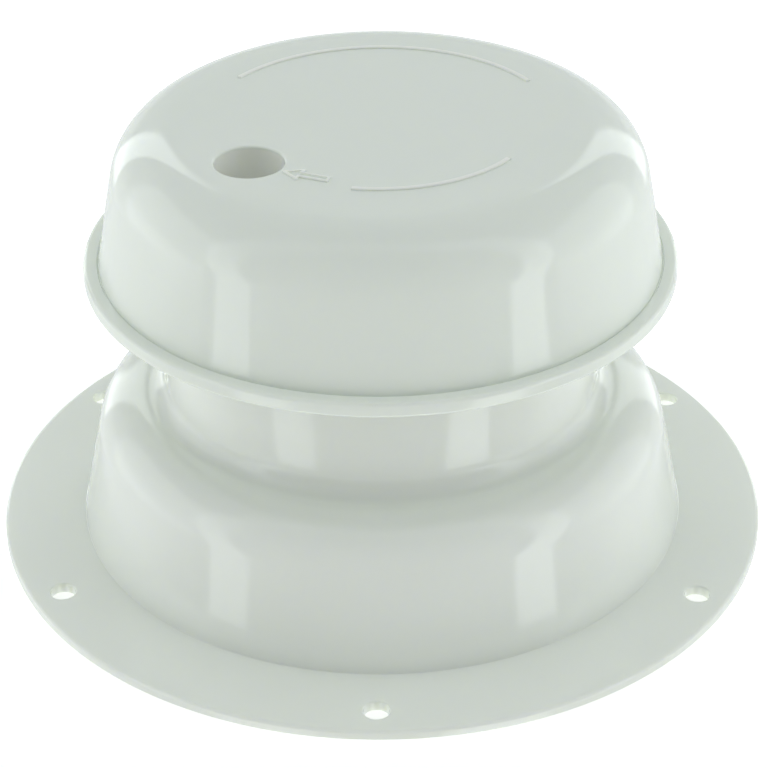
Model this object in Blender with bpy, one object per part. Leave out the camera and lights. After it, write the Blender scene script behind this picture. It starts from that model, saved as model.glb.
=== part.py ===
"""Roof vent for a plumbing pipe: a flanged base, a lift-off cap, its screw and a pipe seal.

The vent stands on a roof with its flange's underside at z = 0 and its axis along Z. The pipe comes
up through the base. Its gas rises into the cap, turns over the base's collar and leaves downwards,
through the ring-shaped gap between the collar and the cap's skirt.
"""
import math

import bmesh
import bpy
from mathutils import Vector

MM = 0.001
SEGMENTS = 60                      # facets round the large turned shapes
SEAL_SEGMENTS = 40
SMALL_SEGMENTS = 16                # facets round bosses, posts and holes
WELL_SEGMENTS = 24
THREAD_ROWS = 4                    # rows of facets along one turn of the screw's thread
GAP = 0.3 * MM                     # between pieces that touch on the real object

# Base moulding
FLANGE_RADIUS = 89.0 * MM
FLANGE_THICKNESS = 2.4 * MM
FLANGE_EDGE_RADIUS = 0.8 * MM
BASE_WALL = 2.4 * MM
DOME_DRAFT = math.radians(11.6)
DOME_SHOULDER_RADIUS = 11.8 * MM
DOME_CREST_RADIUS = 54.0 * MM
DOME_HEIGHT = 34.4 * MM
COLLAR_RADIUS = 49.6 * MM
COLLAR_FOOT_RADIUS = 4.2 * MM
COLLAR_TAPER = 0.4 * MM
COLLAR_HEIGHT = 68.4 * MM
COLLAR_EDGE_RADIUS = 2.0 * MM
PIPE_OPENING_RADIUS = 30.5 * MM
ROOF_HOLE_COUNT = 6
ROOF_HOLE_CIRCLE = 82.0 * MM
ROOF_HOLE_RADIUS = 2.8 * MM
ROOF_HOLE_FLARE = 0.4 * MM
FIRST_ROOF_HOLE = math.radians(-91.0)

# Three bosses on the base's deck carry the cap: one takes the screw, two are sockets
SUPPORT_CIRCLE = 34.0 * MM
SUPPORT_ANGLES = [math.radians(-143.7 + 120.0 * step) for step in range(3)]
BOSS_RADIUS = 4.9 * MM
BOSS_FOOT_RADIUS = 5.2 * MM
BOSS_TOP = 78.0 * MM
SOCKET_RADIUS = 2.9 * MM
SOCKET_DEPTH = 6.0 * MM

# Cap moulding
CAP_WALL = 2.3 * MM
CAP_HEIGHT = 99.4 * MM
CAP_RIM_BOTTOM = 64.6 * MM
CAP_RIM_RADIUS = 66.3 * MM
CAP_RIM_HEIGHT = 3.4 * MM
CAP_RIM_EDGE_RADIUS = 1.4 * MM
CAP_SHOULDER_RADIUS = 14.2 * MM
CAP_FLAT_RADIUS = 45.2 * MM
CAP_DRAFT = math.radians(11.2)
WELL_MOUTH_RADIUS = 7.5 * MM
WELL_FLOOR_RADIUS = 6.8 * MM
WELL_WALL = 1.8 * MM
WELL_EDGE_RADIUS = 0.5 * MM
POST_RADIUS = 4.0 * MM
POST_ROOT_RADIUS = 4.6 * MM
SPIGOT_RADIUS = 2.5 * MM
SPIGOT_LENGTH = 5.0 * MM

# Raised marks on the cap's flat top: an arrow to the screw well and two plain arcs
MARK_HEIGHT = 0.4 * MM
ARROW_TIP = Vector((-18.7, -25.1)) * MM
ARROW_TAIL = Vector((-10.3, -29.9)) * MM
ARROW_HEAD_LENGTH = 3.6 * MM
ARROW_HEAD_WIDTH = 4.6 * MM
ARROW_SHAFT_WIDTH = 1.8 * MM
ARC_WIDTH = 1.2 * MM
BACK_ARC = (38.5 * MM, math.radians(30.0), math.radians(145.0))
FRONT_ARC = (33.5 * MM, math.radians(-100.0), math.radians(-36.0))

# Cap screw: number 8, 18 threads to the inch, half an inch long, with a flat washer
THREAD_PITCH = 25.4 * MM / 18
THREAD_RADIUS = 2.08 * MM
THREAD_CORE_RADIUS = 1.5 * MM
SCREW_LENGTH = 12.7 * MM
SCREW_POINT = 2.4 * MM
HEAD_RADIUS = 4.05 * MM
HEAD_HEIGHT = 2.6 * MM
RECESS_LENGTH = 4.4 * MM
RECESS_WIDTH = 1.1 * MM
RECESS_DEPTH = 1.8 * MM
SCREW_HOLE_RADIUS = 2.4 * MM
PILOT_DEPTH = 10.0 * MM
WASHER_RADIUS = 5.2 * MM
WASHER_THICKNESS = 0.9 * MM

# Pipe seal: one step for each pipe size, the largest at the rim
PIPE_DIAMETERS = [60.3 * MM, 48.3 * MM, 42.2 * MM, 33.4 * MM, 25.4 * MM]
SEAL_GRIP = 0.6 * MM
SEAL_WALL = 1.3 * MM
SEAL_STEP = 5.6 * MM
SEAL_RIM_RADIUS = 37.8 * MM
SEAL_RIM_HEIGHT = 4.1 * MM
SEAL_HOLDER_WALL = 2.2 * MM
SEAL_HOLDER_LIP = 0.9 * MM
SEAL_HOLDER_LIP_HEIGHT = 1.7 * MM

DECK_BOTTOM = COLLAR_HEIGHT - BASE_WALL
WELL_BOTTOM = BOSS_TOP + GAP
WELL_FLOOR = WELL_BOTTOM + CAP_WALL
WASHER_BOTTOM = WELL_FLOOR + GAP
HEAD_BOTTOM = WASHER_BOTTOM + WASHER_THICKNESS + GAP


def remove_old_objects():
    for old in list(bpy.data.objects):
        bpy.data.objects.remove(old, do_unlink=True)


def material(name, color, roughness, metallic=0.0):
    made = bpy.data.materials.new(name)
    made.use_nodes = True
    shader = made.node_tree.nodes["Principled BSDF"]
    shader.inputs["Base Color"].default_value = (*color, 1.0)
    shader.inputs["Roughness"].default_value = roughness
    shader.inputs["Metallic"].default_value = metallic
    return made


def add_object(name, builder, finish=None):
    """Turn a bmesh into a smooth-shaded object with outward faces."""
    bmesh.ops.recalc_face_normals(builder, faces=builder.faces)
    mesh = bpy.data.meshes.new(name)
    builder.to_mesh(mesh)
    builder.free()
    mesh.shade_smooth()
    mesh.set_sharp_from_angle(angle=math.radians(35.0))
    made = bpy.data.objects.new(name, mesh)
    bpy.context.scene.collection.objects.link(made)
    if finish:
        mesh.materials.append(finish)
    return made


def arc(center, radius, start, end, steps):
    """Points on a circle about center = (radius, height), from start to end in degrees."""
    points = []
    for step in range(steps + 1):
        angle = math.radians(start + (end - start) * step / steps)
        points.append((center[0] + radius * math.cos(angle), center[1] + radius * math.sin(angle)))
    return points


def add_ring(builder, radii, height, center=(0.0, 0.0)):
    """Points round a vertical axis through center, one for each radius; a single 0 gives one point."""
    ring = []
    for step, radius in enumerate(radii):
        angle = math.tau * step / len(radii)
        x = center[0] + radius * math.cos(angle)
        y = center[1] + radius * math.sin(angle)
        ring.append(builder.verts.new((x, y, height)))
    return ring


def bridge(builder, ring, following):
    """Faces between two rings; a ring of one point gives a fan."""
    count = max(len(ring), len(following))
    for step in range(count):
        corners = [
            ring[step % len(ring)],
            ring[(step + 1) % len(ring)],
            following[(step + 1) % len(following)],
            following[step % len(following)],
        ]
        corners = list(dict.fromkeys(corners))
        if len(corners) > 2:
            builder.faces.new(corners)


def add_turned(builder, outline, segments, center=(0.0, 0.0)):
    """Turn a closed outline of (radius, height) points about a vertical axis through center."""
    rings = []
    for radius, height in outline:
        radii = [radius] * (segments if radius else 1)
        rings.append(add_ring(builder, radii, height, center))
    for ring, following in zip(rings, rings[1:] + rings[:1]):
        bridge(builder, ring, following)


def add_prism(builder, corners, bottom, top):
    """Extrude a flat outline of (x, y) corners between two heights."""
    lower = [builder.verts.new((x, y, bottom)) for x, y in corners]
    upper = [builder.verts.new((x, y, top)) for x, y in corners]
    builder.faces.new(lower)
    builder.faces.new(upper)
    bridge(builder, lower, upper)


def combine(body, tool, operation):
    """Join a hidden helper solid to a body, or cut it away."""
    tool.hide_render = True
    tool.display_type = "WIRE"
    boolean = body.modifiers.new(tool.name, "BOOLEAN")
    boolean.operation = operation
    boolean.solver = "EXACT"
    boolean.object = tool


def support_center(angle):
    return (SUPPORT_CIRCLE * math.cos(angle), SUPPORT_CIRCLE * math.sin(angle))


def base_outline():
    """Half section of the base: outer skin from the flange inwards and up, then the inner skin."""
    shoulder = (DOME_CREST_RADIUS, DOME_HEIGHT - DOME_SHOULDER_RADIUS)
    draft = math.degrees(DOME_DRAFT)
    skin = arc(shoulder, DOME_SHOULDER_RADIUS, draft, 90.0, 6)
    wall_foot = skin[0][0] + (skin[0][1] - FLANGE_THICKNESS) * math.tan(DOME_DRAFT)
    flange_edge = (FLANGE_RADIUS - FLANGE_EDGE_RADIUS, FLANGE_THICKNESS - FLANGE_EDGE_RADIUS)
    foot = (COLLAR_RADIUS + COLLAR_FOOT_RADIUS, DOME_HEIGHT + COLLAR_FOOT_RADIUS)
    top_radius = COLLAR_RADIUS - COLLAR_TAPER
    edge = (top_radius - COLLAR_EDGE_RADIUS, COLLAR_HEIGHT - COLLAR_EDGE_RADIUS)

    outline = [(FLANGE_RADIUS, 0.0)]
    outline += arc(flange_edge, FLANGE_EDGE_RADIUS, 0.0, 90.0, 2)
    outline.append((wall_foot, FLANGE_THICKNESS))
    outline += skin
    outline += arc(foot, COLLAR_FOOT_RADIUS, 270.0, 180.0, 4)
    outline += arc(edge, COLLAR_EDGE_RADIUS, 0.0, 90.0, 2)
    outline.append((PIPE_OPENING_RADIUS - 2 * MM, COLLAR_HEIGHT))
    outline.append((PIPE_OPENING_RADIUS - 2 * MM, DECK_BOTTOM))
    outline += seal_holder_section()
    inner_collar = COLLAR_RADIUS - BASE_WALL
    under_dome = DOME_HEIGHT - BASE_WALL
    outline.append((inner_collar - COLLAR_TAPER, DECK_BOTTOM))
    corner = (inner_collar + BASE_WALL, under_dome + BASE_WALL)
    outline += arc(corner, BASE_WALL, 180.0, 270.0, 2)
    inner_skin = arc(shoulder, DOME_SHOULDER_RADIUS - BASE_WALL, 90.0, draft, 4)
    outline += inner_skin
    outline.append((inner_skin[-1][0] + inner_skin[-1][1] * math.tan(DOME_DRAFT), 0.0))
    return outline


def seal_holder_section():
    """Ring under the deck that the seal's rim snaps into, over a small lip."""
    inner = SEAL_RIM_RADIUS + GAP
    outer = inner + SEAL_HOLDER_WALL
    lip_top = DECK_BOTTOM - GAP - SEAL_RIM_HEIGHT - GAP
    bottom = lip_top - SEAL_HOLDER_LIP_HEIGHT
    return [
        (inner, DECK_BOTTOM),
        (inner, lip_top),
        (inner - SEAL_HOLDER_LIP, lip_top),
        (inner, bottom),
        (outer, bottom),
        (outer, DECK_BOTTOM),
    ]


def make_base(finish):
    builder = bmesh.new()
    add_turned(builder, base_outline(), SEGMENTS)
    base = add_object("roof_base", builder, finish)

    bosses = bmesh.new()
    foot = COLLAR_HEIGHT - BASE_WALL / 2
    for angle in SUPPORT_ANGLES:
        boss = [(0.0, foot), (BOSS_FOOT_RADIUS, foot), (BOSS_RADIUS, BOSS_TOP), (0.0, BOSS_TOP)]
        add_turned(bosses, boss, SMALL_SEGMENTS, support_center(angle))
    combine(base, add_object("base_bosses", bosses), "UNION")

    holes = bmesh.new()
    below = DECK_BOTTOM - MM
    above = BOSS_TOP + MM
    opening = [(0.0, below), (PIPE_OPENING_RADIUS, below), (PIPE_OPENING_RADIUS, above), (0.0, above)]
    add_turned(holes, opening, SEGMENTS)
    for number, angle in enumerate(SUPPORT_ANGLES):
        radius = SCREW_HOLE_RADIUS if number == 0 else SOCKET_RADIUS
        bottom = BOSS_TOP - (PILOT_DEPTH if number == 0 else SOCKET_DEPTH)
        pocket = [(0.0, bottom), (radius, bottom), (radius, above), (0.0, above)]
        add_turned(holes, pocket, SMALL_SEGMENTS, support_center(angle))
    for number in range(ROOF_HOLE_COUNT):
        angle = FIRST_ROOF_HOLE + math.tau * number / ROOF_HOLE_COUNT
        center = (ROOF_HOLE_CIRCLE * math.cos(angle), ROOF_HOLE_CIRCLE * math.sin(angle))
        add_turned(holes, roof_hole_outline(), SMALL_SEGMENTS, center)
    combine(base, add_object("base_holes", holes), "DIFFERENCE")
    return base


def roof_hole_outline():
    """A screw hole through the flange, eased at its upper edge."""
    wide = ROOF_HOLE_RADIUS + ROOF_HOLE_FLARE
    return [
        (0.0, -MM),
        (ROOF_HOLE_RADIUS, -MM),
        (ROOF_HOLE_RADIUS, FLANGE_THICKNESS - ROOF_HOLE_FLARE),
        (wide, FLANGE_THICKNESS),
        (wide, FLANGE_THICKNESS + MM),
        (0.0, FLANGE_THICKNESS + MM),
    ]


def cap_outline():
    """Half section of the cap: outer skin from the rim bead up to the axis, then the inner skin."""
    shoulder = (CAP_FLAT_RADIUS, CAP_HEIGHT - CAP_SHOULDER_RADIUS)
    draft = math.degrees(CAP_DRAFT)
    rim_top = CAP_RIM_BOTTOM + CAP_RIM_HEIGHT
    skin = arc(shoulder, CAP_SHOULDER_RADIUS, draft, 90.0, 8)
    crease = skin[0][0] + (skin[0][1] - rim_top) * math.tan(CAP_DRAFT)
    bead_radius = CAP_RIM_RADIUS - CAP_RIM_EDGE_RADIUS
    inner_skin = arc(shoulder, CAP_SHOULDER_RADIUS - CAP_WALL, 90.0, draft, 5)
    inner_foot = inner_skin[-1][0] + (inner_skin[-1][1] - CAP_RIM_BOTTOM) * math.tan(CAP_DRAFT)

    lower_edge = (bead_radius, CAP_RIM_BOTTOM + CAP_RIM_EDGE_RADIUS)
    upper_edge = (bead_radius, rim_top - CAP_RIM_EDGE_RADIUS)
    outline = arc(lower_edge, CAP_RIM_EDGE_RADIUS, 270.0, 360.0, 2)
    outline += arc(upper_edge, CAP_RIM_EDGE_RADIUS, 0.0, 90.0, 2)
    outline.append((crease, rim_top))
    outline += skin
    outline.append((0.0, CAP_HEIGHT))
    outline.append((0.0, CAP_HEIGHT - CAP_WALL))
    outline += inner_skin
    outline.append((inner_foot, CAP_RIM_BOTTOM))
    return outline


def support_outline(number):
    """The well's outer wall for the screw, or a plain post whose spigot enters its socket."""
    root = CAP_HEIGHT - CAP_WALL / 2
    if number == 0:
        foot_radius = WELL_FLOOR_RADIUS + WELL_WALL
        root_radius = WELL_MOUTH_RADIUS + WELL_WALL
        return [(0.0, WELL_BOTTOM), (foot_radius, WELL_BOTTOM), (root_radius, root), (0.0, root)]
    spigot_end = WELL_BOTTOM - SPIGOT_LENGTH
    return [
        (0.0, spigot_end),
        (SPIGOT_RADIUS - 0.5 * MM, spigot_end),
        (SPIGOT_RADIUS, spigot_end + MM),
        (SPIGOT_RADIUS, WELL_BOTTOM),
        (POST_RADIUS, WELL_BOTTOM),
        (POST_ROOT_RADIUS, root),
        (0.0, root),
    ]


def arrow_corners():
    """Outline of the arrow, from its tail round its head and back."""
    along = (ARROW_TIP - ARROW_TAIL).normalized()
    across = Vector((-along.y, along.x))
    neck = ARROW_TIP - along * ARROW_HEAD_LENGTH
    half_shaft = across * ARROW_SHAFT_WIDTH / 2
    half_head = across * ARROW_HEAD_WIDTH / 2
    corners = [
        ARROW_TAIL - half_shaft,
        neck - half_shaft,
        neck - half_head,
        ARROW_TIP,
        neck + half_head,
        neck + half_shaft,
        ARROW_TAIL + half_shaft,
    ]
    return [tuple(corner) for corner in corners]


def arc_corners(radius, start, end, steps=16):
    """Outline of a narrow band along a circle about the cap's axis."""
    outer = []
    inner = []
    for step in range(steps + 1):
        angle = start + (end - start) * step / steps
        direction = Vector((math.cos(angle), math.sin(angle)))
        outer.append(tuple(direction * (radius + ARC_WIDTH / 2)))
        inner.append(tuple(direction * (radius - ARC_WIDTH / 2)))
    return outer + list(reversed(inner))


def make_cap(finish):
    builder = bmesh.new()
    add_turned(builder, cap_outline(), SEGMENTS)
    cap = add_object("cap", builder, finish)

    supports = bmesh.new()
    for number, angle in enumerate(SUPPORT_ANGLES):
        segments = WELL_SEGMENTS if number == 0 else SMALL_SEGMENTS
        add_turned(supports, support_outline(number), segments, support_center(angle))
    combine(cap, add_object("cap_supports", supports), "UNION")

    marks = bmesh.new()
    for corners in (arrow_corners(), arc_corners(*BACK_ARC), arc_corners(*FRONT_ARC)):
        add_prism(marks, corners, CAP_HEIGHT - CAP_WALL / 2, CAP_HEIGHT + MARK_HEIGHT)
    combine(cap, add_object("cap_marks", marks), "UNION")

    above = CAP_HEIGHT + MM
    edge = (WELL_MOUTH_RADIUS + WELL_EDGE_RADIUS, CAP_HEIGHT - WELL_EDGE_RADIUS)
    well = [(0.0, WELL_FLOOR), (WELL_FLOOR_RADIUS, WELL_FLOOR)]
    well += arc(edge, WELL_EDGE_RADIUS, 180.0, 90.0, 2)
    well += [(edge[0], above), (0.0, above)]
    well_cutter = bmesh.new()
    add_turned(well_cutter, well, WELL_SEGMENTS, support_center(SUPPORT_ANGLES[0]))
    combine(cap, add_object("screw_well", well_cutter), "DIFFERENCE")

    below = WELL_BOTTOM - MM
    inside = WELL_FLOOR + MM
    hole = [(0.0, below), (SCREW_HOLE_RADIUS, below), (SCREW_HOLE_RADIUS, inside), (0.0, inside)]
    hole_cutter = bmesh.new()
    add_turned(hole_cutter, hole, SMALL_SEGMENTS, support_center(SUPPORT_ANGLES[0]))
    combine(cap, add_object("screw_hole", hole_cutter), "DIFFERENCE")
    return cap


def thread_radius(height, angle):
    """Radius of the threaded shank at a height over its tip: a ridge on a core, fading to a point."""
    turn = (height / THREAD_PITCH - angle / math.tau) % 1.0
    ridge = max(0.0, 1.0 - 3.0 * abs(turn - 0.5))
    point = min(1.0, 0.15 + 0.85 * height / SCREW_POINT)
    return point * (THREAD_CORE_RADIUS + (THREAD_RADIUS - THREAD_CORE_RADIUS) * ridge)


def make_screw(finish):
    """Pan-head screw on its own axis, its head's underside at z = 0."""
    builder = bmesh.new()
    rows = round(SCREW_LENGTH / THREAD_PITCH * THREAD_ROWS)
    angles = [math.tau * step / SMALL_SEGMENTS for step in range(SMALL_SEGMENTS)]
    rings = []
    for row in range(rows):
        height = SCREW_LENGTH * row / rows
        radii = [thread_radius(height, angle) for angle in angles]
        rings.append(add_ring(builder, radii, height - SCREW_LENGTH))
    rings.append(add_ring(builder, [THREAD_CORE_RADIUS] * SMALL_SEGMENTS, 0.0))
    for radius, height in head_outline():
        rings.append(add_ring(builder, [radius] * SMALL_SEGMENTS, height))
    for ring, following in zip(rings, rings[1:]):
        bridge(builder, ring, following)
    builder.faces.new(rings[0])
    builder.faces.new(rings[-1])
    screw = add_object("cap_screw", builder, finish)
    for number in range(2):
        combine(screw, make_recess_arm(number, screw), "DIFFERENCE")
    return screw


def head_outline():
    """Pan head above the shank: flat underside, upright rim and a domed top."""
    return [
        (0.95 * HEAD_RADIUS, 0.0),
        (HEAD_RADIUS, 0.12 * HEAD_HEIGHT),
        (HEAD_RADIUS, 0.45 * HEAD_HEIGHT),
        (0.88 * HEAD_RADIUS, 0.78 * HEAD_HEIGHT),
        (0.62 * HEAD_RADIUS, HEAD_HEIGHT),
    ]


def make_recess_arm(number, screw):
    """One arm of the cross recess, narrowing downwards."""
    top = HEAD_HEIGHT + 0.4 * MM
    bottom = HEAD_HEIGHT - RECESS_DEPTH
    builder = bmesh.new()
    rings = []
    for height, length, width in ((bottom, 0.35, 0.5), (top, 1.0, 1.0)):
        x = RECESS_LENGTH * length / 2
        y = RECESS_WIDTH * width / 2
        corners = [(x, y), (-x, y), (-x, -y), (x, -y)]
        rings.append([builder.verts.new((*corner, height)) for corner in corners])
    bridge(builder, rings[0], rings[1])
    builder.faces.new(rings[0])
    builder.faces.new(rings[1])
    arm = add_object(f"recess_arm_{number}", builder)
    arm.rotation_euler.z = number * math.pi / 2
    arm.parent = screw
    return arm


def make_washer(finish):
    builder = bmesh.new()
    inner = SCREW_HOLE_RADIUS
    section = [
        (inner, 0.0),
        (WASHER_RADIUS, 0.0),
        (WASHER_RADIUS, WASHER_THICKNESS),
        (inner, WASHER_THICKNESS),
    ]
    add_turned(builder, section, SMALL_SEGMENTS)
    return add_object("cap_screw_washer", builder, finish)


def seal_outline():
    """Stepped cone: a thick rim, then one sleeve per pipe size, each smaller and higher."""
    rim_top = DECK_BOTTOM - GAP
    rim_bottom = rim_top - SEAL_RIM_HEIGHT
    bores = [diameter / 2 - SEAL_GRIP for diameter in PIPE_DIAMETERS]
    outer = [(SEAL_RIM_RADIUS, rim_bottom), (SEAL_RIM_RADIUS, rim_top)]
    inner = [(bores[0], rim_bottom), (bores[0], rim_top - SEAL_WALL)]
    for number, bore in enumerate(bores[1:]):
        foot = rim_top + number * SEAL_STEP
        outer += [(bore + SEAL_WALL, foot), (bore + SEAL_WALL, foot + SEAL_STEP)]
        inner += [(bore, foot - SEAL_WALL), (bore, foot + SEAL_STEP - SEAL_WALL)]
    inner[-1] = (inner[-1][0], outer[-1][1])
    return outer + list(reversed(inner))


def make_seal(finish):
    builder = bmesh.new()
    add_turned(builder, seal_outline(), SEAL_SEGMENTS)
    return add_object("pipe_seal", builder, finish)


def place(moving, center, height):
    moving.location = (center[0], center[1], height)


def main():
    remove_old_objects()
    base_plastic = material("base_plastic", (0.80, 0.85, 0.80), 0.25)
    cap_plastic = material("cap_plastic", (0.80, 0.85, 0.80), 0.22)
    steel = material("screw_steel", (0.62, 0.61, 0.60), 0.3, 1.0)
    washer_steel = material("washer_steel", (0.66, 0.66, 0.65), 0.35, 1.0)
    rubber = material("seal_rubber", (0.025, 0.025, 0.027), 0.6)

    make_base(base_plastic)
    make_seal(rubber)
    make_cap(cap_plastic)
    screw_center = support_center(SUPPORT_ANGLES[0])
    place(make_washer(washer_steel), screw_center, WASHER_BOTTOM)
    place(make_screw(steel), screw_center, HEAD_BOTTOM)


main()
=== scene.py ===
"""Looks of a plumbing roof vent in glossy off-white plastic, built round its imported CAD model."""
import math

import bmesh
import bpy
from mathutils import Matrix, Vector


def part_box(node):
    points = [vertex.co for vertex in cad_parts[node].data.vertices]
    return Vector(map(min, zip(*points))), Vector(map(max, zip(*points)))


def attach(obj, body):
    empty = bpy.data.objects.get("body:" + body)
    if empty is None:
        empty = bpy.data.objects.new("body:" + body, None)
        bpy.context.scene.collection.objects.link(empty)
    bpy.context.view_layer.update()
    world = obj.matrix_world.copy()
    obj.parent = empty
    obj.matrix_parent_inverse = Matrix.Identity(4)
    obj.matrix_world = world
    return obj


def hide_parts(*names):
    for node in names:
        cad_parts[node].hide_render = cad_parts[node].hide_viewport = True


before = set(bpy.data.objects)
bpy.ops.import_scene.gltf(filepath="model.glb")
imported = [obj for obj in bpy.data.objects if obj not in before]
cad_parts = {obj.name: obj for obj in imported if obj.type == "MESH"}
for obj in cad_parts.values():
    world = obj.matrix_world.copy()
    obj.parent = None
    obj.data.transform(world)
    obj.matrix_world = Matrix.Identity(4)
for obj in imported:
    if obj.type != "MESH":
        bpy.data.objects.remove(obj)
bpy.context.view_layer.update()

MM = 0.001
LARGE = 240                        # facets round the base and the cap
SMALL = 64                         # facets round posts, bosses and holes
WELL_FACETS = 96
SEAL_FACETS = 144
GAP = 0.3 * MM                     # between pieces that touch on the real object

# Sizes that the frame gives
_, BASE_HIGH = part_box("roof_base")
CAP_LOW, CAP_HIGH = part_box("cap")
SEAL_LOW, SEAL_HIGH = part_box("pipe_seal")
WASHER_LOW, WASHER_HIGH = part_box("cap_screw_washer")
FLANGE_RADIUS = BASE_HIGH.x
BOSS_TOP = BASE_HIGH.z
CAP_RIM_RADIUS = CAP_HIGH.x
CAP_RIM_BOTTOM = CAP_LOW.z
SCREW_CENTER = ((WASHER_LOW.x + WASHER_HIGH.x) / 2, (WASHER_LOW.y + WASHER_HIGH.y) / 2)

# Base
FLANGE_THICKNESS = 2.4 * MM
FLANGE_EDGE_RADIUS = 0.8 * MM
FLANGE_BREAK = 0.25 * MM           # at the lower edge
FLANGE_CREASE_RADIUS = 0.3 * MM
BASE_WALL = 2.4 * MM
DOME_DRAFT = 11.6
DOME_SHOULDER_RADIUS = 11.8 * MM
DOME_CREST_RADIUS = 54.0 * MM
DOME_HEIGHT = 34.4 * MM
COLLAR_RADIUS = 49.6 * MM
COLLAR_FOOT_RADIUS = 4.2 * MM
COLLAR_TAPER = 0.4 * MM
COLLAR_HEIGHT = 68.4 * MM
COLLAR_EDGE_RADIUS = 2.0 * MM
DECK_BOTTOM = COLLAR_HEIGHT - BASE_WALL
PIPE_OPENING_RADIUS = 30.5 * MM
ROOF_HOLES = 6
ROOF_HOLE_CIRCLE = 82.0 * MM
ROOF_HOLE_RADIUS = 2.8 * MM
ROOF_HOLE_EDGE = 0.4 * MM
FIRST_ROOF_HOLE = -91.0
SUPPORT_CIRCLE = math.hypot(*SCREW_CENTER)
FIRST_SUPPORT = math.atan2(SCREW_CENTER[1], SCREW_CENTER[0])
SUPPORT_ANGLES = [FIRST_SUPPORT + math.radians(120.0 * step) for step in range(3)]
BOSS_RADIUS = 4.9 * MM
BOSS_FOOT_RADIUS = 5.2 * MM
BOSS_EDGE = 0.5 * MM
OPENING_EDGE = 0.4 * MM            # round the pipe opening, the pilot hole and the sockets
SOCKET_RADIUS = 2.9 * MM
SOCKET_DEPTH = 6.0 * MM
SCREW_HOLE_RADIUS = 2.4 * MM
PILOT_DEPTH = 10.0 * MM

# Cap
MARK_HEIGHT = 0.4 * MM
MARK_BEVEL = 0.15 * MM
CAP_HEIGHT = CAP_HIGH.z - MARK_HEIGHT
CAP_WALL = 2.3 * MM
CAP_RIM_HEIGHT = 3.4 * MM
CAP_RIM_EDGE_RADIUS = 0.8 * MM
CAP_INNER_EDGE = 0.5 * MM
CAP_SHOULDER_RADIUS = 14.2 * MM
PARTING_WIDTH = 0.5 * MM           # the fine line above the rim bead
PARTING_DEPTH = 0.3 * MM
CAP_FLAT_RADIUS = 45.2 * MM
CAP_DRAFT = 11.2
WELL_MOUTH_RADIUS = 7.5 * MM
WELL_FLOOR_RADIUS = 6.8 * MM
WELL_WALL = 1.8 * MM
WELL_EDGE_RADIUS = 0.5 * MM
POST_RADIUS = 4.0 * MM
POST_ROOT_RADIUS = 4.6 * MM
SPIGOT_RADIUS = 2.5 * MM
SPIGOT_LENGTH = 5.0 * MM
WELL_BOTTOM = BOSS_TOP + GAP
WELL_FLOOR = WELL_BOTTOM + CAP_WALL
ARROW_TIP = Vector((-20.4, -25.1)) * MM
ARROW_TAIL = Vector((-10.4, -29.1)) * MM
ARROW_HEAD_LENGTH = 4.4 * MM
ARROW_HEAD_WIDTH = 5.2 * MM
ARROW_SHAFT_WIDTH = 2.3 * MM
ARROW_STROKE = 0.55 * MM
ARC_WIDTH = 1.2 * MM
BACK_ARC = (38.5 * MM, 30.0, 145.0)
FRONT_ARC = (33.5 * MM, -100.0, -36.0)

# Seal: bores for the standard pipes, largest first
PIPE_DIAMETERS = [60.3 * MM, 48.3 * MM, 42.2 * MM, 33.4 * MM, 25.4 * MM]
SEAL_GRIP = 0.6 * MM
SEAL_WALL = 1.3 * MM
SEAL_STEP = 5.6 * MM
SEAL_RIM_RADIUS = SEAL_HIGH.x
SEAL_RIM_HEIGHT = 4.1 * MM
SEAL_EDGE = 0.35 * MM
HOLDER_WALL = 2.2 * MM
HOLDER_LIP = 0.9 * MM
HOLDER_LIP_HEIGHT = 1.7 * MM

# Studio
FLOOR_SIZE = 8.0
BACKDROP_RADIUS = 3.9
CAMERA_FOCAL = 111.1
CAMERA_ELEVATION = 31.72
CAMERA_DISTANCE = 0.5529
CAMERA_ROLL = 0.383
CAMERA_TARGET = Vector((0.0, 0.0, 0.0267))
CAMERA_SHIFT = (0.605 * MM, 4.388 * MM)

# Brightness of the surroundings by the direction's height, from straight down (0) to straight up (1)
WORLD_IN_FRONT = [
    (0.0, 0.02), (0.58, 0.03), (0.70, 0.36), (0.86, 0.48), (0.94, 0.58), (1.0, 0.58),
]
WORLD_BEHIND = [
    (0.0, 0.40), (0.20, 0.88), (0.49, 0.88), (0.54, 0.62), (0.66, 0.60), (0.80, 0.48), (1.0, 0.60),
]

# Lights: azimuth and elevation in degrees, distance, width and height in metres, brightness
SOFTBOXES = [
    ("left_box", 172.0, 12.0, 1.6, 1.70, 1.70, 0.68),
    ("right_box", 8.0, 12.0, 1.6, 1.70, 1.70, 0.68),
]
# Arches of the light tent round the vent: brightness on the left and on the right
BACK_ARCH = (1.48, 1.34)
FRONT_ARCH = (1.62, 2.05)
FRONT_ARCH_LEAN = math.radians(15.0)
BACK_ARCH_DEPTH = (0.777, 0.88)      # how far back and how high its directions reach, from -1 to 1
BACK_ARCH_HEIGHT = (-0.25, 0.60)
BACK_ARCH_GAP = (0.10, 0.22)         # it is open in the middle
FRONT_ARCH_DEPTH = (-0.54, -0.31)
FRONT_ARCH_FADE = (0.1, 0.75)        # heights between which it dims
LIGHT_COLOR = (0.940, 0.992, 0.990)
FLOOR_GLOW = 0.40

# Plastic
BASE_COLOR = (0.942, 0.980, 0.900)
CAP_COLOR = (0.908, 0.958, 0.877)
# painted light: a paler tone, laid as a painted sheen on the raised marks and as painted light inside the
# screw well
PAINTED_LIGHT_COLOR = (0.980, 0.992, 0.915)
MOTTLED_TONE = 0.985                 # darkest places, as a share of the plastic's color
BASE_ROUGHNESS = 0.05
CAP_ROUGHNESS = 0.045
MARK_ROUGHNESS = 0.35                # added on the raised marks

# ---------------------------------------------------------------- mesh helpers

def arc(center, radius, start, end, steps):
    """Points on a circle about center = (radius, height), from start to end in degrees."""
    points = []
    for step in range(steps + 1):
        angle = math.radians(start + (end - start) * step / steps)
        points.append((center[0] + radius * math.cos(angle), center[1] + radius * math.sin(angle)))
    return points


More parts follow.
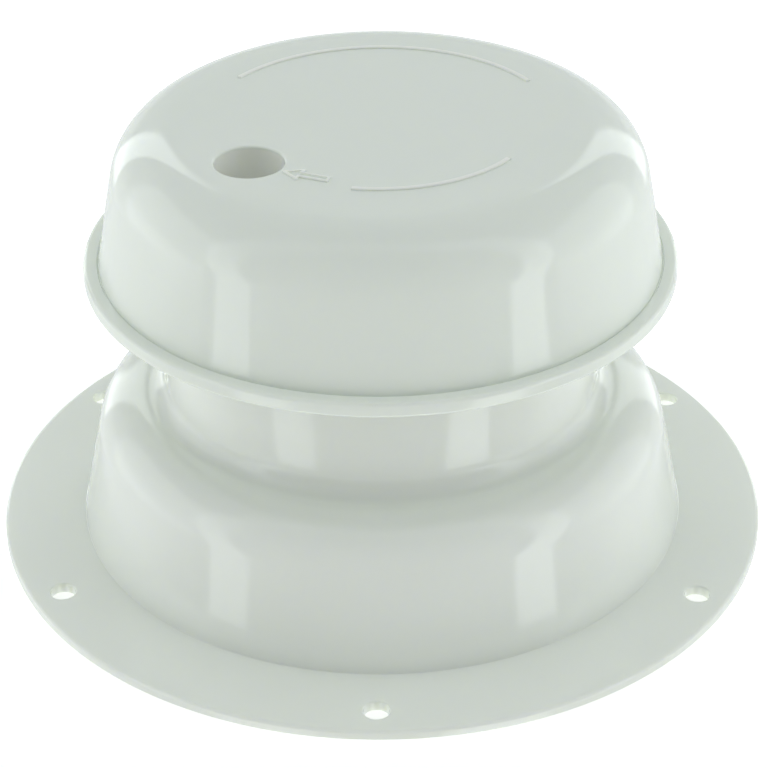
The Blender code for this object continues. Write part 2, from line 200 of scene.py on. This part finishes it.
def rounded(outline, radius, steps=4, skip=()):
    """Round the corners of a closed (radius, height) outline, but not those numbered in skip."""
    result = []
    count = len(outline)
    for number, corner in enumerate(outline):
        here = Vector(corner)
        before = Vector(outline[number - 1]) - here
        after = Vector(outline[(number + 1) % count]) - here
        turn = math.pi - before.angle(after) if before.length and after.length else 0.0
        if number in skip or corner[0] == 0.0 or turn < math.radians(20):
            result.append(corner)
            continue
        reach = min(radius * math.tan(turn / 2), 0.45 * before.length, 0.45 * after.length)
        start = here + before.normalized() * reach
        end = here + after.normalized() * reach
        for step in range(steps + 1):
            share = step / steps
            point = start.lerp(here, share).lerp(here.lerp(end, share), share)
            result.append((point.x, point.y))
    return result


def add_turned(builder, outline, segments, center=(0.0, 0.0)):
    """Turn a closed outline of (radius, height) points about a vertical axis through center."""
    rings = []
    for radius, height in outline:
        ring = []
        for step in range(segments if radius else 1):
            angle = math.tau * step / segments
            x = center[0] + radius * math.cos(angle)
            y = center[1] + radius * math.sin(angle)
            ring.append(builder.verts.new((x, y, height)))
        rings.append(ring)
    for ring, following in zip(rings, rings[1:] + rings[:1]):
        bridge(builder, ring, following)


def bridge(builder, ring, following):
    """Faces between two rings; a ring of one point gives a fan."""
    count = max(len(ring), len(following))
    for step in range(count):
        corners = [
            ring[step % len(ring)],
            ring[(step + 1) % len(ring)],
            following[(step + 1) % len(following)],
            following[step % len(following)],
        ]
        corners = list(dict.fromkeys(corners))
        if len(corners) > 2:
            builder.faces.new(corners)


def add_prism(builder, corners, bottom, top, bevel):
    """Extrude a flat outline between two heights, with its upper edge eased."""
    lower = [builder.verts.new((*corner, bottom)) for corner in corners]
    shoulder = [builder.verts.new((*corner, top - bevel)) for corner in corners]
    upper = [builder.verts.new((*inset, top)) for inset in inset_outline(corners, bevel)]
    builder.faces.new(lower)
    builder.faces.new(upper)
    bridge(builder, lower, shoulder)
    bridge(builder, shoulder, upper)


def inset_outline(corners, distance):
    """Move each corner of an outline inwards by the same distance from its sides."""
    inset = []
    count = len(corners)
    area = sum(
        corners[i][0] * corners[(i + 1) % count][1] - corners[(i + 1) % count][0] * corners[i][1]
        for i in range(count)
    )
    side = 1.0 if area > 0 else -1.0
    for number in range(count):
        here = Vector(corners[number])
        before = (here - Vector(corners[number - 1])).normalized()
        after = (Vector(corners[(number + 1) % count]) - here).normalized()
        normal_before = Vector((-before.y, before.x)) * side
        normal_after = Vector((-after.y, after.x)) * side
        middle = normal_before + normal_after
        inset.append(tuple(here + middle * distance / max(0.3, 0.5 * middle.length_squared)))
    return inset


def new_object(name, builder):
    bmesh.ops.recalc_face_normals(builder, faces=builder.faces)
    mesh = bpy.data.meshes.new(name)
    builder.to_mesh(mesh)
    builder.free()
    made = bpy.data.objects.new(name, mesh)
    bpy.context.scene.collection.objects.link(made)
    return made


def combine(body, tool, operation):
    """Apply a Boolean of a helper solid, then delete the helper."""
    boolean = body.modifiers.new(tool.name, "BOOLEAN")
    boolean.operation = operation
    boolean.solver = "EXACT"
    boolean.object = tool
    bpy.context.view_layer.update()
    evaluated = body.evaluated_get(bpy.context.evaluated_depsgraph_get())
    mesh = bpy.data.meshes.new_from_object(evaluated)
    body.modifiers.clear()
    body.data = mesh
    bpy.data.objects.remove(tool, do_unlink=True)


def finish_mesh(piece, material, body, node, sharp_angle=38.0):
    """Shade a piece smoothly, give it its material, tie it to its body and hide the CAD node it stands
    for.
    """
    piece.data.materials.clear()
    piece.data.materials.append(material)
    piece.data.shade_smooth()
    piece.data.set_sharp_from_angle(angle=math.radians(sharp_angle))
    weighted = piece.modifiers.new("weighted_normals", "WEIGHTED_NORMAL")
    weighted.keep_sharp = True
    weighted.weight = 60
    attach(piece, body)
    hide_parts(node)


def support_center(angle):
    return (SUPPORT_CIRCLE * math.cos(angle), SUPPORT_CIRCLE * math.sin(angle))


# ---------------------------------------------------------------- materials

class Nodes:
    def __init__(self, owner, shader="Principled BSDF", coordinates="Object"):
        owner.use_nodes = True
        self.owner = owner
        self.tree = owner.node_tree
        self.shader = self.tree.nodes[shader]
        self.position = self.tree.nodes.new("ShaderNodeTexCoord").outputs[coordinates]

    def set(self, node, name, value):
        socket = node.inputs[name]
        if isinstance(value, bpy.types.NodeSocket):
            self.tree.links.new(value, socket)
        else:
            socket.default_value = value

    def add(self, kind, **inputs):
        node = self.tree.nodes.new(kind)
        for name, value in inputs.items():
            self.set(node, name.replace("_", " "), value)
        return node

    def noise(self, scale, detail=2.0, roughness=0.5):
        node = self.add("ShaderNodeTexNoise", Vector=self.position, Scale=scale, Detail=detail)
        node.inputs["Roughness"].default_value = roughness
        return node.outputs["Fac"]

    def ranged(self, value, low, high, start=0.3, end=0.7, smooth=False):
        node = self.add("ShaderNodeMapRange", Value=value)
        if smooth:
            node.interpolation_type = "SMOOTHSTEP"
        self.set(node, "From Min", start)
        self.set(node, "From Max", end)
        self.set(node, "To Min", low)
        self.set(node, "To Max", high)
        return node.outputs["Result"]

    def mix(self, factor, first, second):
        node = self.tree.nodes.new("ShaderNodeMix")
        node.data_type = "RGBA"
        self.set(node, "Factor", factor)
        for number, value in ((6, first), (7, second)):
            if isinstance(value, bpy.types.NodeSocket):
                self.tree.links.new(value, node.inputs[number])
            else:
                node.inputs[number].default_value = (*value, 1.0)
        return node.outputs[2]

    def axis(self, name):
        return self.add("ShaderNodeSeparateXYZ", Vector=self.position).outputs[name]

    def between(self, value, low, high, edge):
        """1 between two values, with soft edges."""
        rise = self.ranged(value, 0.0, 1.0, low - edge, low + edge, smooth=True)
        fall = self.ranged(value, 1.0, 0.0, high - edge, high + edge, smooth=True)
        return self.math("MULTIPLY", rise, fall)

    def math(self, operation, first, second):
        node = self.tree.nodes.new("ShaderNodeMath")
        node.operation = operation
        for number, value in enumerate((first, second)):
            if isinstance(value, bpy.types.NodeSocket):
                self.tree.links.new(value, node.inputs[number])
            else:
                node.inputs[number].default_value = value
        return node.outputs["Value"]

    def blend(self, factor, first, second):
        return self.math("ADD", self.math("MULTIPLY", self.math("SUBTRACT", 1.0, factor), first),
                         self.math("MULTIPLY", factor, second))

    def ramp(self, value, stops):
        node = self.add("ShaderNodeValToRGB", Fac=value)
        node.color_ramp.interpolation = "EASE"
        elements = node.color_ramp.elements
        for place, brightness in stops:
            stop = elements[0] if place == 0.0 else elements[-1] if place == 1.0 else elements.new(place)
            stop.color = (brightness, brightness, brightness, 1.0)
        return node.outputs["Color"]

    def bump(self, height, strength, distance, below=None):
        node = self.add("ShaderNodeBump", Height=height, Strength=strength, Distance=distance)
        if below is not None:
            self.tree.links.new(below, node.inputs["Normal"])
        return node.outputs["Normal"]

    def finish(self, **inputs):
        for name, value in inputs.items():
            self.set(self.shader, name.replace("_", " "), value)
        return self.owner


def painted_light_masks(nodes):
    """Two masks for a paler tone of painted light: the raised marks, which are also duller, get a painted
    sheen, and the inside of the well, which is thin, gets painted light that lifts its shade.
    """
    marks = nodes.ranged(nodes.axis("Z"), 0.0, 1.0, CAP_HEIGHT + 0.06 * MM, CAP_HEIGHT + 0.16 * MM)
    axis = nodes.add("ShaderNodeVectorMath", Vector=nodes.position)
    axis.operation = "DISTANCE"
    flatten = nodes.add("ShaderNodeVectorMath", Vector=nodes.position)
    flatten.operation = "MULTIPLY"
    flatten.inputs[1].default_value = (1.0, 1.0, 0.0)
    nodes.tree.links.new(flatten.outputs["Vector"], axis.inputs[0])
    axis.inputs[1].default_value = (*SCREW_CENTER, 0.0)
    near = nodes.ranged(axis.outputs["Value"], 1.0, 0.0, WELL_MOUTH_RADIUS, WELL_MOUTH_RADIUS + 0.3 * MM)
    deep = nodes.ranged(nodes.axis("Z"), 1.0, 0.0, CAP_HEIGHT - 1.0 * MM, CAP_HEIGHT - 0.4 * MM)
    return marks, nodes.math("MULTIPLY", near, deep)


def moulded_plastic(name, color, gloss, marked=False):
    """Glossy injection-moulded plastic: faint mottling, slightly uneven gloss, sink marks and peel."""
    nodes = Nodes(bpy.data.materials.new(name))
    mottling = nodes.ranged(nodes.noise(28.0, 3.0), 0.0, 1.0)
    darker = tuple(channel * MOTTLED_TONE for channel in color)
    tint = nodes.mix(mottling, darker, color)
    unevenness = nodes.noise(75.0, 4.0, 0.6)
    roughness = nodes.ranged(unevenness, gloss * 0.8, gloss * 1.25)
    if marked:
        marks, well = painted_light_masks(nodes)
        # painted sheen on the raised marks and painted light inside the well, laid as a paler tone
        tint = nodes.mix(nodes.math("MAXIMUM", marks, well), tint, PAINTED_LIGHT_COLOR)
        roughness = nodes.math("ADD", roughness, nodes.math("MULTIPLY", marks, MARK_ROUGHNESS))
    waves = nodes.bump(nodes.noise(34.0, 1.0), 0.25, 0.0006)
    peel = nodes.bump(nodes.noise(620.0, 2.0), 0.10, 0.00006, waves)
    return nodes.finish(
        Base_Color=tint,
        Roughness=roughness,
        Normal=peel,
        IOR=1.49,
        Subsurface_Weight=0.5,
        Subsurface_Scale=0.0009,
        Subsurface_Radius=(1.0, 1.0, 0.75),
    )


def black_rubber():
    nodes = Nodes(bpy.data.materials.new("seal_rubber_looks"))
    bloom = nodes.ranged(nodes.noise(90.0, 4.0, 0.6), 0.0, 1.0, 0.45, 0.8)
    tint = nodes.mix(bloom, (0.018, 0.018, 0.019), (0.045, 0.045, 0.047))
    roughness = nodes.ranged(nodes.noise(240.0, 3.0), 0.48, 0.68)
    grain = nodes.bump(nodes.noise(1800.0, 2.0), 0.25, 0.00004)
    return nodes.finish(Base_Color=tint, Roughness=roughness, Normal=grain)


def steel(name, color, turned):
    """Stainless steel with fine machining or stamping marks."""
    nodes = Nodes(bpy.data.materials.new(name))
    stretch = nodes.add("ShaderNodeMapping", Vector=nodes.position)
    stretch.inputs["Scale"].default_value = (1.0, 1.0, 9.0) if turned else (1.0, 6.0, 1.0)
    nodes.position = stretch.outputs["Vector"]
    marks = nodes.noise(900.0, 4.0, 0.65)
    tint = nodes.mix(nodes.ranged(marks, 0.0, 1.0), tuple(0.86 * channel for channel in color), color)
    roughness = nodes.ranged(marks, 0.22, 0.38)
    scratches = nodes.bump(marks, 0.2, 0.00003)
    return nodes.finish(Base_Color=tint, Roughness=roughness, Normal=scratches, Metallic=1.0)


# ---------------------------------------------------------------- base

def seal_holder_section():
    """Ring under the deck that the seal's rim snaps into, over a small lip."""
    inner = SEAL_RIM_RADIUS + GAP
    outer = inner + HOLDER_WALL
    lip_top = SEAL_LOW.z - GAP
    bottom = lip_top - HOLDER_LIP_HEIGHT
    return [
        (inner, DECK_BOTTOM),
        (inner, lip_top),
        (inner - HOLDER_LIP, lip_top),
        (inner, bottom),
        (outer, bottom),
        (outer, DECK_BOTTOM),
    ]


def base_outline():
    """Half section of the base: outer skin from the flange inwards and up, then the inner skin."""
    shoulder = (DOME_CREST_RADIUS, DOME_HEIGHT - DOME_SHOULDER_RADIUS)
    slope = math.tan(math.radians(DOME_DRAFT))
    skin = arc(shoulder, DOME_SHOULDER_RADIUS, DOME_DRAFT, 90.0, 28)
    wall_foot = skin[0][0] + (skin[0][1] - FLANGE_THICKNESS) * slope
    flange_edge = (FLANGE_RADIUS - FLANGE_EDGE_RADIUS, FLANGE_THICKNESS - FLANGE_EDGE_RADIUS)
    foot = (COLLAR_RADIUS + COLLAR_FOOT_RADIUS, DOME_HEIGHT + COLLAR_FOOT_RADIUS)
    edge = (COLLAR_RADIUS - COLLAR_TAPER - COLLAR_EDGE_RADIUS, COLLAR_HEIGHT - COLLAR_EDGE_RADIUS)
    crease = (wall_foot + FLANGE_CREASE_RADIUS, FLANGE_THICKNESS + FLANGE_CREASE_RADIUS)
    opening = PIPE_OPENING_RADIUS + OPENING_EDGE

    outline = [(FLANGE_RADIUS - FLANGE_BREAK, 0.0), (FLANGE_RADIUS, FLANGE_BREAK)]
    outline += arc(flange_edge, FLANGE_EDGE_RADIUS, 0.0, 90.0, 7)
    outline += [(FLANGE_RADIUS - 3.0 * MM, FLANGE_THICKNESS), (wall_foot + 3.0 * MM, FLANGE_THICKNESS)]
    outline += arc(crease, FLANGE_CREASE_RADIUS, 270.0, 180.0 + DOME_DRAFT, 5)
    outline += skin
    outline += arc(foot, COLLAR_FOOT_RADIUS, 270.0, 180.0, 16)
    outline += arc(edge, COLLAR_EDGE_RADIUS, 0.0, 90.0, 9)
    outline += [(44.0 * MM, COLLAR_HEIGHT), (32.0 * MM, COLLAR_HEIGHT)]
    outline += arc((opening, COLLAR_HEIGHT - OPENING_EDGE), OPENING_EDGE, 90.0, 180.0, 4)
    outline += arc((opening, DECK_BOTTOM + OPENING_EDGE), OPENING_EDGE, 180.0, 270.0, 4)
    outline += rounded(seal_holder_section(), 0.3 * MM, 3, skip=(0, 5))
    inner_collar = COLLAR_RADIUS - BASE_WALL
    under_dome = DOME_HEIGHT - BASE_WALL
    outline.append((inner_collar - COLLAR_TAPER - MM, DECK_BOTTOM))
    outline += arc((inner_collar - COLLAR_TAPER - MM, DECK_BOTTOM - MM), MM, 90.0, 0.0, 4)
    corner = (inner_collar + BASE_WALL, under_dome + BASE_WALL)
    outline += arc(corner, BASE_WALL, 180.0, 270.0, 8)
    inner_skin = arc(shoulder, DOME_SHOULDER_RADIUS - BASE_WALL, 90.0, DOME_DRAFT, 20)
    outline += inner_skin
    inner_foot = inner_skin[-1][0] + inner_skin[-1][1] * slope
    outline += [(inner_foot - 0.3 * MM * slope, 0.3 * MM), (inner_foot + 0.3 * MM, 0.0)]
    outline.append((ROOF_HOLE_CIRCLE, 0.0))
    return outline


def make_base(material):
    builder = bmesh.new()
    add_turned(builder, base_outline(), LARGE)
    base = new_object("vent_base", builder)

    bosses = bmesh.new()
    foot = COLLAR_HEIGHT - BASE_WALL / 2
    section = [(0.0, foot), (BOSS_FOOT_RADIUS, foot)]
    section += arc((BOSS_RADIUS - BOSS_EDGE, BOSS_TOP - BOSS_EDGE), BOSS_EDGE, 0.0, 90.0, 5)
    section.append((0.0, BOSS_TOP))
    for angle in SUPPORT_ANGLES:
        add_turned(bosses, section, SMALL, support_center(angle))
    combine(base, new_object("bosses", bosses), "UNION")

    cuts = bmesh.new()
    above = BOSS_TOP + MM
    trim = PIPE_OPENING_RADIUS + 0.05 * MM
    opening = [(0.0, COLLAR_HEIGHT), (trim, COLLAR_HEIGHT), (trim, above), (0.0, above)]
    add_turned(cuts, opening, LARGE)
    for number, angle in enumerate(SUPPORT_ANGLES):
        radius = SCREW_HOLE_RADIUS if number == 0 else SOCKET_RADIUS
        bottom = BOSS_TOP - (PILOT_DEPTH if number == 0 else SOCKET_DEPTH)
        pocket = [(0.0, bottom), (radius, bottom)]
        pocket += arc((radius + OPENING_EDGE, BOSS_TOP - OPENING_EDGE), OPENING_EDGE, 180.0, 90.0, 4)
        pocket += [(radius + OPENING_EDGE, above), (0.0, above)]
        add_turned(cuts, pocket, SMALL, support_center(angle))
    wide = ROOF_HOLE_RADIUS + ROOF_HOLE_EDGE
    hole = [(0.0, -MM), (ROOF_HOLE_RADIUS, -MM)]
    hole += arc((wide, FLANGE_THICKNESS - ROOF_HOLE_EDGE), ROOF_HOLE_EDGE, 180.0, 90.0, 5)
    hole += [(wide, FLANGE_THICKNESS + MM), (0.0, FLANGE_THICKNESS + MM)]
    for number in range(ROOF_HOLES):
        angle = math.radians(FIRST_ROOF_HOLE + 360.0 * number / ROOF_HOLES)
        center = (ROOF_HOLE_CIRCLE * math.cos(angle), ROOF_HOLE_CIRCLE * math.sin(angle))
        add_turned(cuts, hole, SMALL, center)
    combine(base, new_object("base_cuts", cuts), "DIFFERENCE")
    finish_mesh(base, material, "base", "roof_base")


# ---------------------------------------------------------------- cap

def groove(radius, height):
    """A fine parting line where a sloping wall meets a ledge."""
    half = PARTING_WIDTH / 2
    return [
        (radius + half, height),
        (radius + 0.5 * half, height - PARTING_DEPTH),
        (radius - 0.7 * half, height - PARTING_DEPTH),
        (radius - 0.7 * half, height),
    ]


def cap_outline():
    """Half section of the cap: outer skin from the rim bead up to the axis, then the inner skin."""
    shoulder = (CAP_FLAT_RADIUS, CAP_HEIGHT - CAP_SHOULDER_RADIUS)
    slope = math.tan(math.radians(CAP_DRAFT))
    rim_top = CAP_RIM_BOTTOM + CAP_RIM_HEIGHT
    skin = arc(shoulder, CAP_SHOULDER_RADIUS, CAP_DRAFT, 90.0, 32)
    crease = skin[0][0] + (skin[0][1] - rim_top) * slope
    bead = CAP_RIM_RADIUS - CAP_RIM_EDGE_RADIUS
    inner_skin = arc(shoulder, CAP_SHOULDER_RADIUS - CAP_WALL, 90.0, CAP_DRAFT, 24)
    inner_foot = inner_skin[-1][0] + (inner_skin[-1][1] - CAP_RIM_BOTTOM) * slope

    outline = arc((bead, CAP_RIM_BOTTOM + CAP_RIM_EDGE_RADIUS), CAP_RIM_EDGE_RADIUS, 270.0, 360.0, 9)
    outline += arc((bead, rim_top - CAP_RIM_EDGE_RADIUS), CAP_RIM_EDGE_RADIUS, 0.0, 90.0, 9)
    outline += groove(crease, rim_top)
    outline += skin
    for radius in (44.9, 43.0, 24.0, 12.0, 4.0):
        outline.append((radius * MM, CAP_HEIGHT))
    outline.append((0.0, CAP_HEIGHT))
    outline.append((0.0, CAP_HEIGHT - CAP_WALL))
    outline += [(12.0 * MM, CAP_HEIGHT - CAP_WALL), (44.5 * MM, CAP_HEIGHT - CAP_WALL)]
    outline += inner_skin
    inner_edge = (inner_foot + CAP_INNER_EDGE, CAP_RIM_BOTTOM + CAP_INNER_EDGE)
    outline += arc(inner_edge, CAP_INNER_EDGE, 180.0 + CAP_DRAFT, 270.0, 4)
    return outline


def support_outline(number):
    """The well's outer wall for the screw, or a plain post whose spigot enters its socket."""
    root = CAP_HEIGHT - CAP_WALL / 2
    if number == 0:
        foot_radius = WELL_FLOOR_RADIUS + WELL_WALL
        root_radius = WELL_MOUTH_RADIUS + WELL_WALL
        corners = [(0.0, WELL_BOTTOM), (foot_radius, WELL_BOTTOM), (root_radius, root), (0.0, root)]
        return rounded(corners, 0.5 * MM, 4, skip=(2,))
    spigot_end = WELL_BOTTOM - SPIGOT_LENGTH
    corners = [
        (0.0, spigot_end),
        (SPIGOT_RADIUS - 0.5 * MM, spigot_end),
        (SPIGOT_RADIUS, spigot_end + MM),
        (SPIGOT_RADIUS, WELL_BOTTOM),
        (POST_RADIUS, WELL_BOTTOM),
        (POST_ROOT_RADIUS, root),
        (0.0, root),
    ]
    return rounded(corners, 0.3 * MM, 3, skip=(5,))


def arrow_corners():
    """Outline of the arrow, from its tail round its head and back."""
    along = (ARROW_TIP - ARROW_TAIL).normalized()
    across = Vector((-along.y, along.x))
    neck = ARROW_TIP - along * ARROW_HEAD_LENGTH
    half_shaft = across * ARROW_SHAFT_WIDTH / 2
    half_head = across * ARROW_HEAD_WIDTH / 2
    corners = [
        ARROW_TAIL - half_shaft,
        neck - half_shaft,
        neck - half_head,
        ARROW_TIP,
        neck + half_head,
        neck + half_shaft,
        ARROW_TAIL + half_shaft,
    ]
    return [tuple(corner) for corner in corners]


def arc_corners(radius, start, end, steps=60):
    """Outline of a narrow band along a circle about the cap's axis."""
    outer = []
    inner = []
    for step in range(steps + 1):
        angle = math.radians(start + (end - start) * step / steps)
        direction = Vector((math.cos(angle), math.sin(angle)))
        outer.append(tuple(direction * (radius + ARC_WIDTH / 2)))
        inner.append(tuple(direction * (radius - ARC_WIDTH / 2)))
    return outer + list(reversed(inner))


def make_cap(material):
    builder = bmesh.new()
    add_turned(builder, cap_outline(), LARGE)
    cap = new_object("vent_cap", builder)

    additions = bmesh.new()
    for number, angle in enumerate(SUPPORT_ANGLES):
        add_turned(additions, support_outline(number), SMALL, support_center(angle))
    for corners in (arrow_corners(), arc_corners(*BACK_ARC), arc_corners(*FRONT_ARC)):
        add_prism(additions, corners, CAP_HEIGHT - CAP_WALL / 2, CAP_HEIGHT + MARK_HEIGHT, MARK_BEVEL)
    combine(cap, new_object("cap_additions", additions), "UNION")

    cuts = bmesh.new()
    above = CAP_HEIGHT + MM
    edge = (WELL_MOUTH_RADIUS + WELL_EDGE_RADIUS, CAP_HEIGHT - WELL_EDGE_RADIUS)
    well = [(0.0, WELL_FLOOR), (WELL_FLOOR_RADIUS, WELL_FLOOR)]
    well += arc(edge, WELL_EDGE_RADIUS, 180.0, 90.0, 6)
    well += [(edge[0], above), (0.0, above)]
    add_turned(cuts, well, WELL_FACETS, SCREW_CENTER)
    inside_arrow = inset_outline(arrow_corners(), ARROW_STROKE)
    add_prism(cuts, inside_arrow, CAP_HEIGHT + 0.03 * MM, above, 0.1 * MM)
    combine(cap, new_object("screw_well", cuts), "DIFFERENCE")

    hole_cut = bmesh.new()
    inside = WELL_FLOOR + MM
    below = WELL_BOTTOM - MM
    hole = [(0.0, below), (SCREW_HOLE_RADIUS, below), (SCREW_HOLE_RADIUS, inside), (0.0, inside)]
    add_turned(hole_cut, hole, SMALL, SCREW_CENTER)
    combine(cap, new_object("screw_hole", hole_cut), "DIFFERENCE")
    finish_mesh(cap, material, "cap", "cap")


# ---------------------------------------------------------------- seal

def seal_outline():
    """Stepped cone: a thick rim, then one sleeve per pipe size, each smaller and higher."""
    rim_bottom = SEAL_LOW.z
    rim_top = rim_bottom + SEAL_RIM_HEIGHT
    bores = [diameter / 2 - SEAL_GRIP for diameter in PIPE_DIAMETERS]
    outer = [(SEAL_RIM_RADIUS, rim_bottom), (SEAL_RIM_RADIUS, rim_top)]
    inner = [(bores[0], rim_bottom), (bores[0], rim_top - SEAL_WALL)]
    for number, bore in enumerate(bores[1:]):
        foot = rim_top + number * SEAL_STEP
        outer += [(bore + SEAL_WALL, foot), (bore + SEAL_WALL, foot + SEAL_STEP)]
        inner += [(bore, foot - SEAL_WALL), (bore, foot + SEAL_STEP - SEAL_WALL)]
    inner[-1] = (inner[-1][0], outer[-1][1])
    return rounded(outer + list(reversed(inner)), SEAL_EDGE, 4)


def make_seal(material):
    builder = bmesh.new()
    add_turned(builder, seal_outline(), SEAL_FACETS)
    seal = new_object("rubber_pipe_seal", builder)
    finish_mesh(seal, material, "base", "pipe_seal")


# ---------------------------------------------------------------- studio

def softbox(name, azimuth, elevation, distance, width, height, radiance):
    """An area light of a given brightness, placed round the vent and aimed at it."""
    light = bpy.data.lights.new(name, "AREA")
    light.shape = "RECTANGLE"
    light.size = width
    light.size_y = height
    light.energy = radiance * math.pi * width * height
    light.color = LIGHT_COLOR
    fade_edges(light)
    lamp = bpy.data.objects.new(name, light)
    around = math.radians(azimuth)
    up = math.radians(elevation)
    direction = Vector((math.cos(up) * math.cos(around), math.cos(up) * math.sin(around), math.sin(up)))
    middle = Vector((0.0, 0.0, 0.05))
    lamp.location = middle + direction * distance
    lamp.rotation_euler = direction.to_track_quat("Z", "Y").to_euler()
    lamp.visible_camera = False
    bpy.context.scene.collection.objects.link(lamp)


def fade_edges(light):
    """Dim a light towards its edges, as the diffuser of a softbox does."""
    light.use_nodes = True
    tree = light.node_tree
    place = tree.nodes.new("ShaderNodeNewGeometry")
    split = tree.nodes.new("ShaderNodeSeparateXYZ")
    product = tree.nodes.new("ShaderNodeMath")
    product.operation = "MULTIPLY"
    tree.links.new(place.outputs["Parametric"], split.inputs["Vector"])
    for number, (axis, fade) in enumerate((("X", 0.05), ("Y", 0.12))):
        off_center = tree.nodes.new("ShaderNodeMath")
        off_center.operation = "SUBTRACT"
        off_center.inputs[1].default_value = 0.5
        distance = tree.nodes.new("ShaderNodeMath")
        distance.operation = "ABSOLUTE"
        dimming = tree.nodes.new("ShaderNodeMapRange")
        dimming.interpolation_type = "SMOOTHSTEP"
        dimming.inputs["From Min"].default_value = 0.5 - fade
        dimming.inputs["From Max"].default_value = 0.5
        dimming.inputs["To Min"].default_value = 1.0
        dimming.inputs["To Max"].default_value = 0.0
        tree.links.new(split.outputs[axis], off_center.inputs[0])
        tree.links.new(off_center.outputs["Value"], distance.inputs[0])
        tree.links.new(distance.outputs["Value"], dimming.inputs["Value"])
        tree.links.new(dimming.outputs["Result"], product.inputs[number])
    tree.links.new(product.outputs["Value"], tree.nodes["Emission"].inputs["Strength"])


def make_light_tent():
    """Surroundings like a white light tent: walls, a bright arch behind and one in front."""
    world = bpy.data.worlds.new("light_tent")
    bpy.context.scene.world = world
    tent = Nodes(world, "Background", "Generated")
    across, along, up = tent.axis("X"), tent.axis("Y"), tent.axis("Z")
    behind = tent.ranged(along, 0.0, 1.0, -0.3, 0.3, smooth=True)
    height = tent.ranged(up, 0.0, 1.0, -1.0, 1.0)
    walls = tent.blend(behind, tent.ramp(height, WORLD_IN_FRONT), tent.ramp(height, WORLD_BEHIND))
    right = tent.ranged(across, 0.0, 1.0, -0.1, 0.1)
    aside = tent.math("ABSOLUTE", across, 0.0)

    band = tent.between(along, *BACK_ARCH_DEPTH, 0.012)
    back = tent.math("MULTIPLY", band, tent.between(up, *BACK_ARCH_HEIGHT, 0.08))
    back = tent.math("MULTIPLY", back, tent.ranged(aside, 0.0, 1.0, *BACK_ARCH_GAP, smooth=True))
    back = tent.math("MULTIPLY", back, tent.blend(right, *BACK_ARCH))

    forward = tent.math("MULTIPLY", along, math.cos(FRONT_ARCH_LEAN))
    forward = tent.math("SUBTRACT", forward, tent.math("MULTIPLY", up, math.sin(FRONT_ARCH_LEAN)))
    band = tent.between(forward, *FRONT_ARCH_DEPTH, 0.02)
    front = tent.math("MULTIPLY", band, tent.ranged(up, 1.0, 0.30, *FRONT_ARCH_FADE))
    front = tent.math("MULTIPLY", front, tent.blend(right, *FRONT_ARCH))

    strength = tent.math("ADD", walls, tent.math("ADD", back, front))
    tent.finish(Color=(*LIGHT_COLOR, 1.0), Strength=strength)


def make_studio():
    floor_builder = bmesh.new()
    half = FLOOR_SIZE / 2
    corners = [(-half, -half, 0.0), (half, -half, 0.0), (half, half, 0.0), (-half, half, 0.0)]
    floor_builder.faces.new([floor_builder.verts.new(corner) for corner in corners])
    floor = new_object("studio_floor", floor_builder)
    floor.location.z = -0.0002
    paper = Nodes(bpy.data.materials.new("studio_paper"))
    shade = paper.mix(paper.noise(2.0, 2.0), (0.93, 0.93, 0.925), (0.95, 0.95, 0.95))
    glow = {"Emission_Color": (1.0, 1.0, 1.0, 1.0), "Emission_Strength": FLOOR_GLOW}
    floor.data.materials.append(paper.finish(Base_Color=shade, Roughness=0.9, **glow))
    floor.visible_glossy = False       # the plastic mirrors the tent's lower half instead

    wall_builder = bmesh.new()
    wall = bmesh.ops.create_cone(
        wall_builder,
        segments=96,
        radius1=BACKDROP_RADIUS,
        radius2=BACKDROP_RADIUS,
        depth=2 * BACKDROP_RADIUS,
    )
    bmesh.ops.translate(wall_builder, verts=wall["verts"], vec=(0.0, 0.0, BACKDROP_RADIUS - 0.01))
    backdrop = new_object("studio_backdrop", wall_builder)
    screen = Nodes(bpy.data.materials.new("studio_screen"))
    shade = screen.mix(screen.noise(0.7, 1.0), (0.99, 0.99, 0.985), (1.0, 1.0, 1.0))
    black = (0.0, 0.0, 0.0, 1.0)
    looks = screen.finish(Base_Color=black, Emission_Color=shade, Emission_Strength=1.0, Roughness=1.0)
    backdrop.data.materials.append(looks)
    backdrop.visible_glossy = False    # it is only a plain wall behind the vent, and throws no light on it
    backdrop.visible_diffuse = False
    backdrop.visible_transmission = False
    backdrop.visible_shadow = False

    make_light_tent()
    for name, *setting in SOFTBOXES:
        softbox(name, *setting)


def make_camera():
    """The camera stands in front of the vent and looks down on it, slightly rolled."""
    tilt = math.radians(CAMERA_ELEVATION)
    forward = Vector((0.0, math.cos(tilt), -math.sin(tilt)))
    level_up = Vector((0.0, math.sin(tilt), math.cos(tilt)))
    level_right = Vector((1.0, 0.0, 0.0))
    place = CAMERA_TARGET - forward * CAMERA_DISTANCE
    place += level_right * CAMERA_SHIFT[0] + level_up * CAMERA_SHIFT[1]
    data = bpy.data.cameras.new("camera")
    data.lens = CAMERA_FOCAL
    data.sensor_width = 36.0
    data.clip_start = 0.01
    camera = bpy.data.objects.new("camera", data)
    camera.location = place
    camera.rotation_euler = forward.to_track_quat("-Z", "Y").to_euler()
    camera.rotation_euler.rotate_axis("Z", -math.radians(CAMERA_ROLL))
    bpy.context.scene.collection.objects.link(camera)
    bpy.context.scene.camera = camera


base_plastic = moulded_plastic("base_plastic_looks", BASE_COLOR, BASE_ROUGHNESS)
cap_plastic = moulded_plastic("cap_plastic_looks", CAP_COLOR, CAP_ROUGHNESS, marked=True)
make_base(base_plastic)
make_cap(cap_plastic)
make_seal(black_rubber())
for node, look in (("cap_screw", steel("screw_looks", (0.62, 0.61, 0.60), True)),
                   ("cap_screw_washer", steel("washer_looks", (0.66, 0.66, 0.65), False))):
    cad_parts[node].data.materials.clear()
    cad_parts[node].data.materials.append(look)
make_studio()
make_camera()
bpy.context.scene.view_settings.view_transform = "Standard"
